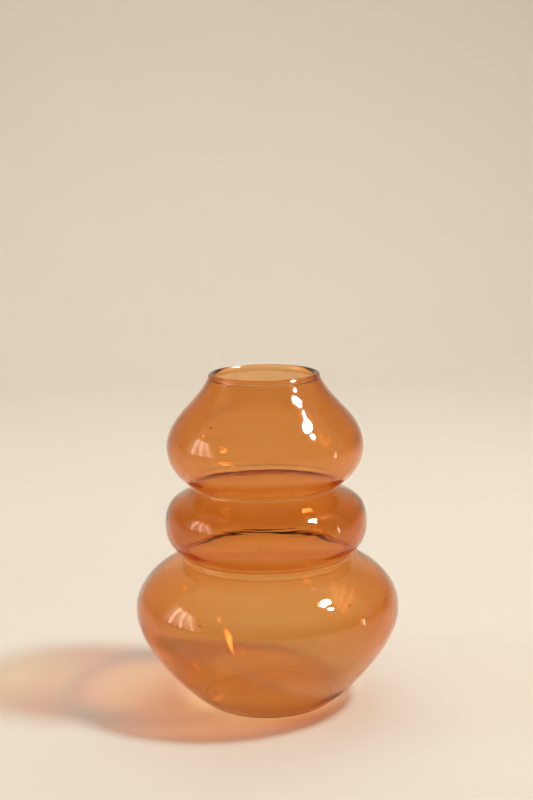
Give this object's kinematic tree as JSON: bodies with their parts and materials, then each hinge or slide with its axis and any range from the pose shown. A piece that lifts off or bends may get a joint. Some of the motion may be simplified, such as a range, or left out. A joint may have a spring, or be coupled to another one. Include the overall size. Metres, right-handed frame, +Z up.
{
  "type": "bud vase",
  "caption": "Small blown-glass bud vase with three stacked bulges between pinched grooves, a narrow beaded mouth and a flat foot.",
  "frame": {"origin": "centre of the flat foot, at the height of the surface it stands on", "axes": "+Z up along the axis the glass is turned about, towards the mouth; +X and +Y are arbitrary"},
  "size_m": [0.095, 0.095, 0.12],
  "materials": {
    "amber_glass": "polished"
  },
  "bodies": {
    "root": {"glass_body": "amber_glass"}
  },
  "joints": []
}
